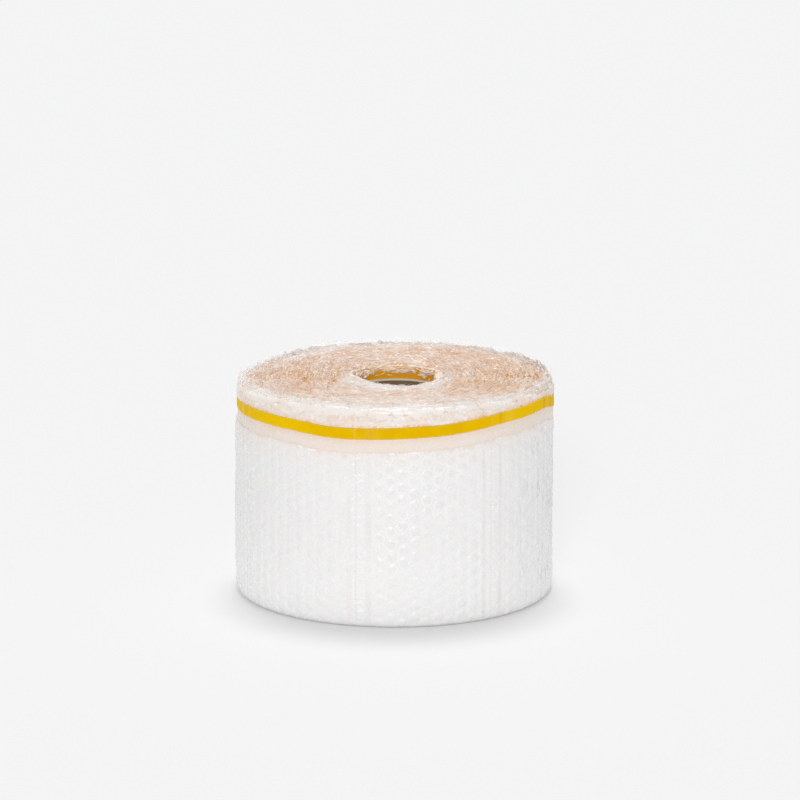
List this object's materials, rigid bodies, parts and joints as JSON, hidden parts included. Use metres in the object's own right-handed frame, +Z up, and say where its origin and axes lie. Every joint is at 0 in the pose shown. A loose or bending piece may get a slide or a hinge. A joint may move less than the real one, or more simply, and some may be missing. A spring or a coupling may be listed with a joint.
{
  "type": "roll of bubble bags",
  "caption": "Upright roll of perforated bubble film bags wound on a cardboard core, with a peel-off closure strip along the flaps.",
  "frame": {"origin": "on the core's axis, level with the surface that the roll stands on", "axes": "+Z up along the core's axis, the front of the roll faces -Y, +X to the right of the front"},
  "size_m": [0.2906, 0.2855, 0.2],
  "materials": {
    "film": "clear to milky bubble film, many layers deep",
    "strip": "opaque yellow release strip, slightly glossy, finely wrinkled across",
    "core": "grey-brown wound paperboard"
  },
  "bodies": {
    "root": {"bubble_web": "film", "closure_strip": "strip", "cardboard_core": "core"}
  },
  "joints": []
}
